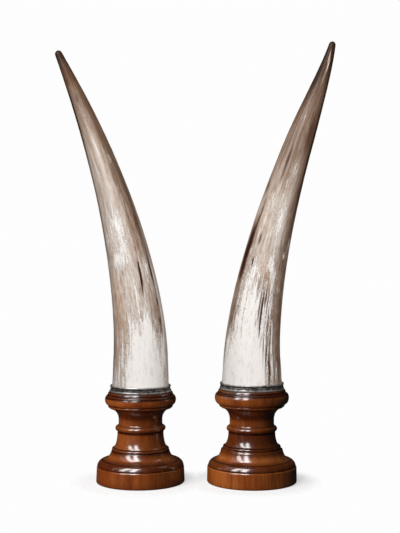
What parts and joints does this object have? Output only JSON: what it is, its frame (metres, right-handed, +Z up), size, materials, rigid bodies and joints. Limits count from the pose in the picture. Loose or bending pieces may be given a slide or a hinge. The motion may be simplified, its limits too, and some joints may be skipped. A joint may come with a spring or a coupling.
{
  "type": "pair of mounted horns",
  "caption": "Pair of polished horns standing upright on turned wooden stands, with silver collars round their bases, for display on a shelf or mantel.",
  "frame": {"origin": "on the resting surface, midway between the axes of the two stands", "axes": "+Z up along the stands' axes, +X from the left horn to the right one, +Y away from a viewer in front, whose side the horns sweep towards slightly"},
  "size_m": [0.3631, 0.117, 0.5716],
  "materials": {
    "horn": "polished horn, grey-taupe with cream patches, brown streaks and a dark tip",
    "silver_collar": "polished silver with darkened hollows",
    "turned_wood": "glossy red-brown varnish, darker in the creases"
  },
  "bodies": {
    "root": {"horn_left": "horn", "horn_right": "horn", "collar_left": "silver_collar", "collar_right": "silver_collar", "stand_left": "turned_wood", "stand_right": "turned_wood"}
  },
  "joints": []
}
